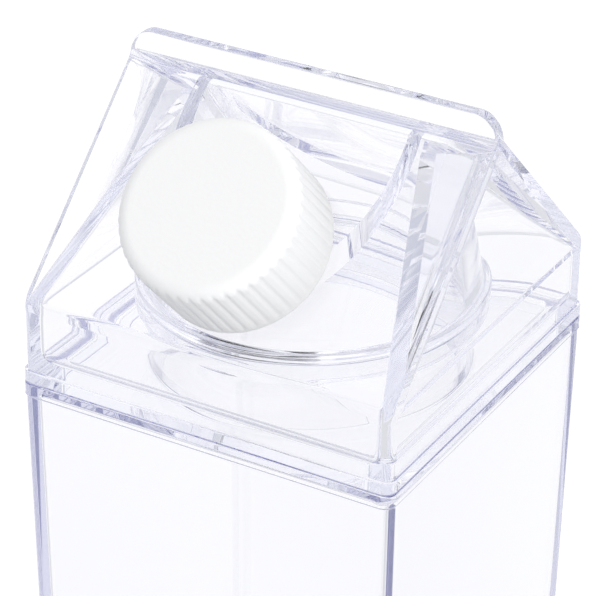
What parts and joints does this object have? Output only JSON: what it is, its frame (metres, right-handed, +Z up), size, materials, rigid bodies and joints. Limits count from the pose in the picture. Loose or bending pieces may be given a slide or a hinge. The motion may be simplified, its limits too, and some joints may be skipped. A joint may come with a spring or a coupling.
{
  "type": "carton-shaped clear water bottle",
  "caption": "Empty clear plastic water bottle shaped like a gabled drink carton: square body, folded roof with a ridge fin, and a white ribbed cap on the front roof panel.",
  "frame": {"origin": "middle of the flat underside, on the surface that the bottle stands on", "axes": "+Z up, -Y the front with the cap, +X to the right of someone who looks at the front"},
  "size_m": [0.0718, 0.0797, 0.1724],
  "materials": {
    "clear_body": "polished clear moulded plastic with a faint lavender tint at its edges",
    "clear_top": "polished clear moulded plastic with a faint lavender tint at its edges",
    "white_cap": "satin white moulded plastic, ribbed side and smooth face"
  },
  "bodies": {
    "root": {"body": "clear_body", "gable_top": "clear_top", "cap": "white_cap"}
  },
  "joints": []
}
